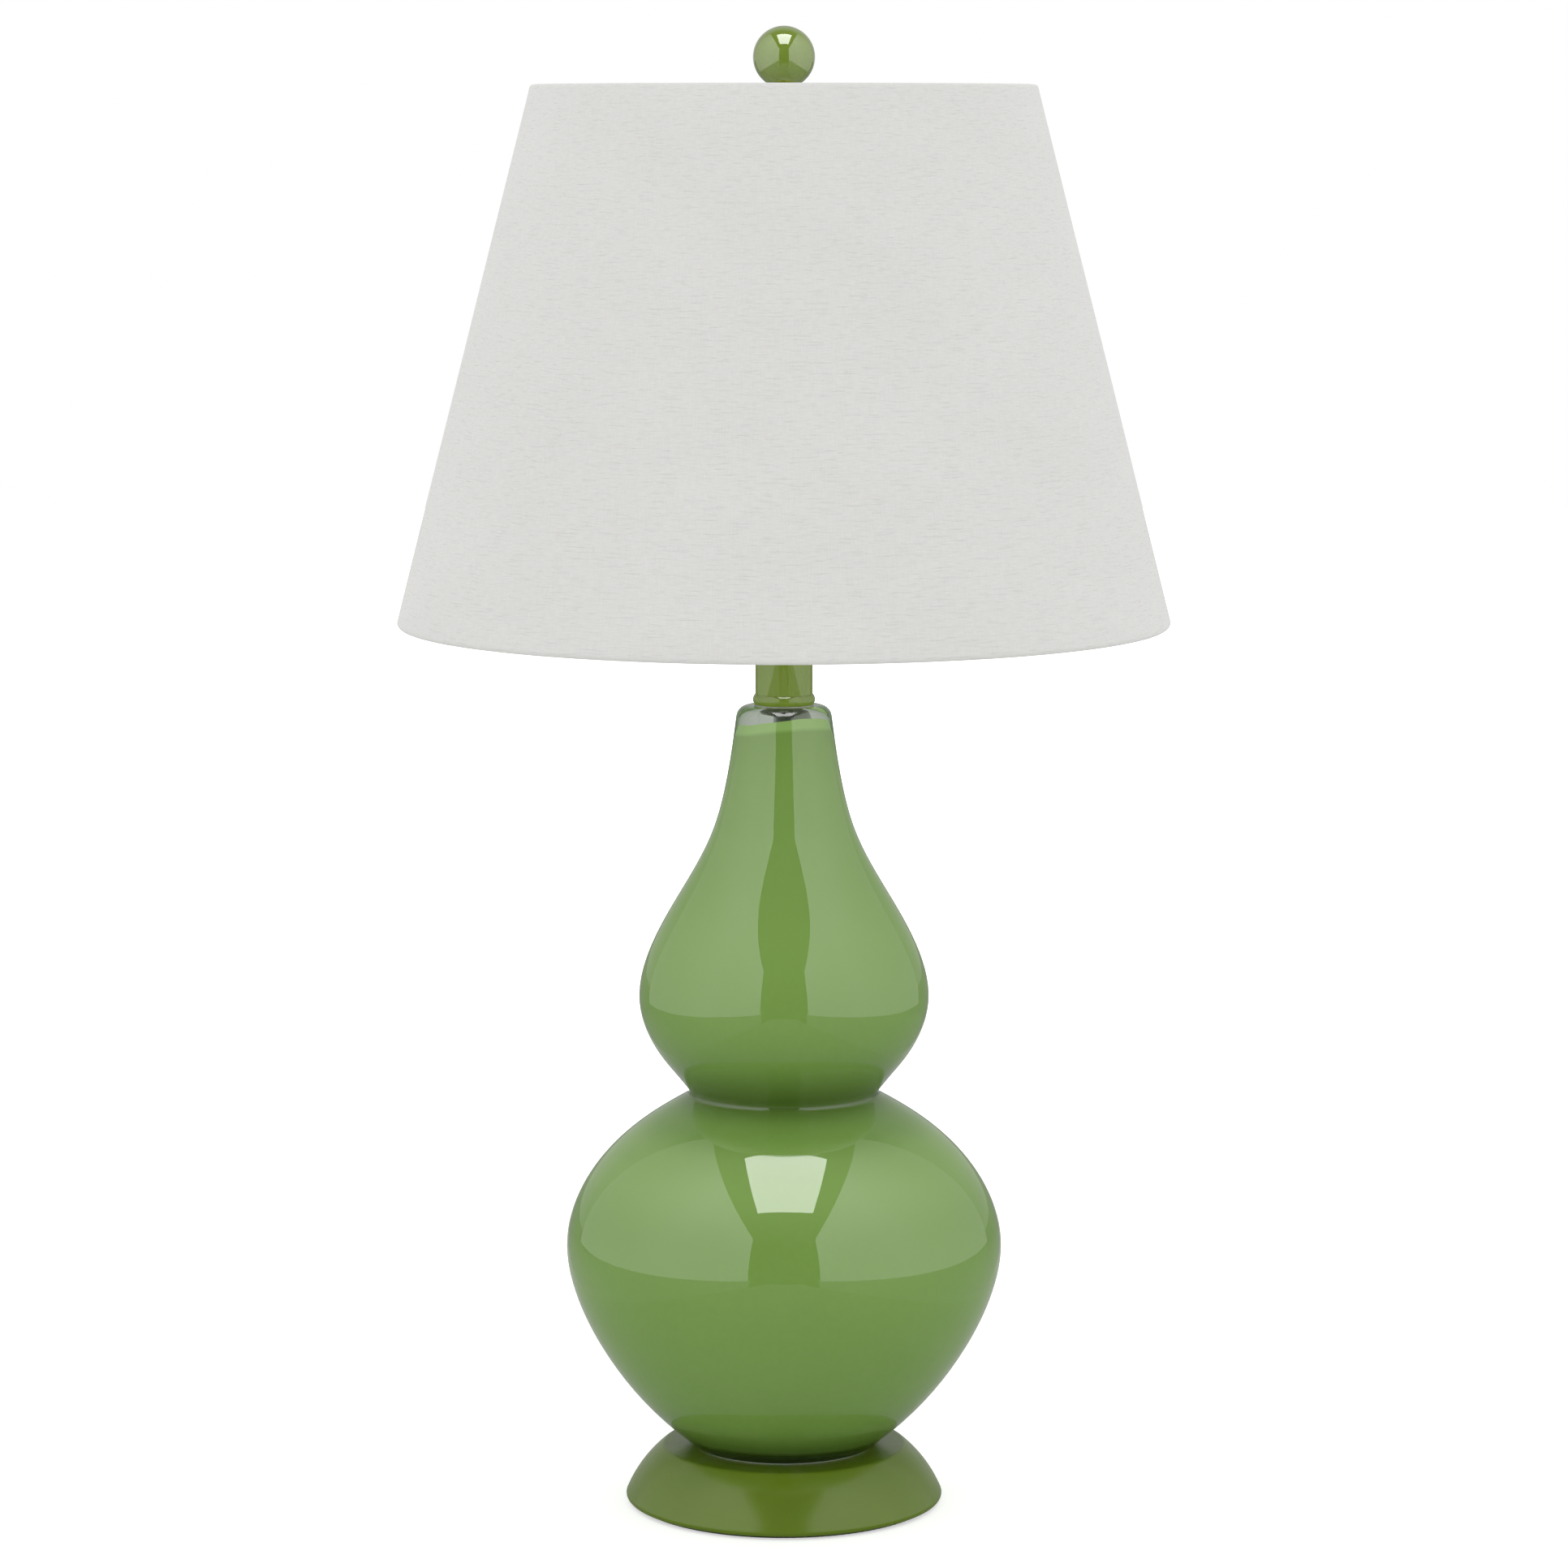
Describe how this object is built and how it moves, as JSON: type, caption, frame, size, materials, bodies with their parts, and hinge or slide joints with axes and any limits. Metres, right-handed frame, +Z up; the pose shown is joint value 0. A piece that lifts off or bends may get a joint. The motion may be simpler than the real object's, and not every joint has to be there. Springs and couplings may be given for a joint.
{
  "type": "double gourd table lamp",
  "caption": "Table lamp with a double gourd glass body painted green inside, a round painted foot, a tapered drum shade on a harp and a ball finial.",
  "frame": {"origin": "on the table under the lamp's vertical axis", "axes": "+Z up along the lamp's axis, -Y towards the front (the switch knob's side), +X to the right seen from the front; the cord outlet is at the rear, +Y"},
  "size_m": [0.3478, 0.3478, 0.671],
  "materials": {
    "green_glass": "clear glass, painted green inside",
    "green_paint": "gloss green enamel",
    "felt": "wool felt",
    "board": "fibreboard",
    "iron": "cast",
    "zinc_steel": "zinc plated",
    "brass": "satin",
    "nickel": "satin nickel",
    "clear_rubber": "soft",
    "black_plastic": "moulded",
    "fibre": "pressed fibre",
    "aluminium": "bright",
    "cotton": "slubbed cotton",
    "styrene": "white styrene sheet",
    "white_wire": "white enamel",
    "bulb_white": "frosted",
    "bulb_black": "vitrite"
  },
  "bodies": {
    "lamp": {"bottom_felt": "felt", "bottom_board": "board", "base_foot": "green_paint", "base_weight": "iron", "cord_bushing": "black_plastic", "flat_washer": "zinc_steel", "lock_washer": "zinc_steel", "pipe_nut_lower": "brass", "lamp_pipe": "zinc_steel", "glass_gasket": "clear_rubber", "glass_gourd": "green_glass", "mouth_bushing": "clear_rubber", "neck_ring": "green_paint", "neck_tube": "green_paint", "neck_cap": "green_paint", "pipe_nut_upper": "brass", "harp_saddle": "nickel", "socket_cap": "nickel", "socket_set_screw": "brass", "socket_shell": "nickel", "socket_liner": "fibre", "socket_body": "black_plastic", "terminal_screws": "brass", "socket_screw_shell": "brass", "socket_centre_contact": "brass"},
    "harp": {"harp_wire": "nickel"},
    "sleeve_left": {"harp_sleeve_left": "nickel"},
    "sleeve_right": {"harp_sleeve_right": "nickel"},
    "shade": {"harp_top_stud": "nickel", "shade_fabric": "cotton", "shade_liner": "styrene", "shade_spider": "white_wire", "shade_bottom_ring": "white_wire"},
    "finial_thread": {"finial_insert": "brass"},
    "finial": {"finial_ball": "green_paint"},
    "switch": {"switch_stem": "brass", "switch_knob": "black_plastic"},
    "bulb_tip": {"bulb_contact": "aluminium", "bulb_insulator": "bulb_black"},
    "bulb": {"bulb_cap": "aluminium", "bulb_glass": "bulb_white"}
  },
  "joints": [
    {"name": "harp_lift", "type": "slide", "parent": "lamp", "child": "harp", "axis": [0, 0, 1], "range_m": [0, 0.016]},
    {"name": "sleeve_left_lift", "type": "slide", "parent": "harp", "child": "sleeve_left", "axis": [0, 0, 1], "range_m": [0, 0.014]},
    {"name": "sleeve_right_lift", "type": "slide", "parent": "harp", "child": "sleeve_right", "axis": [0, 0, 1], "range_m": [0, 0.014]},
    {"name": "shade_turn", "type": "hinge", "parent": "harp", "child": "shade", "pos_m": [0, 0, 0.63], "axis": [0, 0, 1], "continuous": true},
    {"name": "finial_rise", "type": "slide", "parent": "shade", "child": "finial_thread", "axis": [0, 0, 1], "range_m": [0, 0.0125]},
    {"name": "finial_turn", "type": "hinge", "parent": "finial_thread", "child": "finial", "pos_m": [0, 0, 0.64], "axis": [0, 0, 1], "range_deg": [0, 4782.5]},
    {"name": "switch_turn", "type": "hinge", "parent": "lamp", "child": "switch", "pos_m": [0, -0.03, 0.4546], "axis": [0, -1, 0], "continuous": true},
    {"name": "bulb_rise", "type": "slide", "parent": "lamp", "child": "bulb_tip", "axis": [0, 0, 1], "range_m": [0, 0.018]},
    {"name": "bulb_turn", "type": "hinge", "parent": "bulb_tip", "child": "bulb", "pos_m": [0, 0, 0.48], "axis": [0, 0, 1], "range_deg": [0, 1784.8]}
  ],
  "couplings": [
    {"joint": "finial_rise", "follows": "finial_turn", "m_per_rad": 0.00014972},
    {"joint": "bulb_rise", "follows": "bulb_turn", "m_per_rad": 0.00057751}
  ]
}
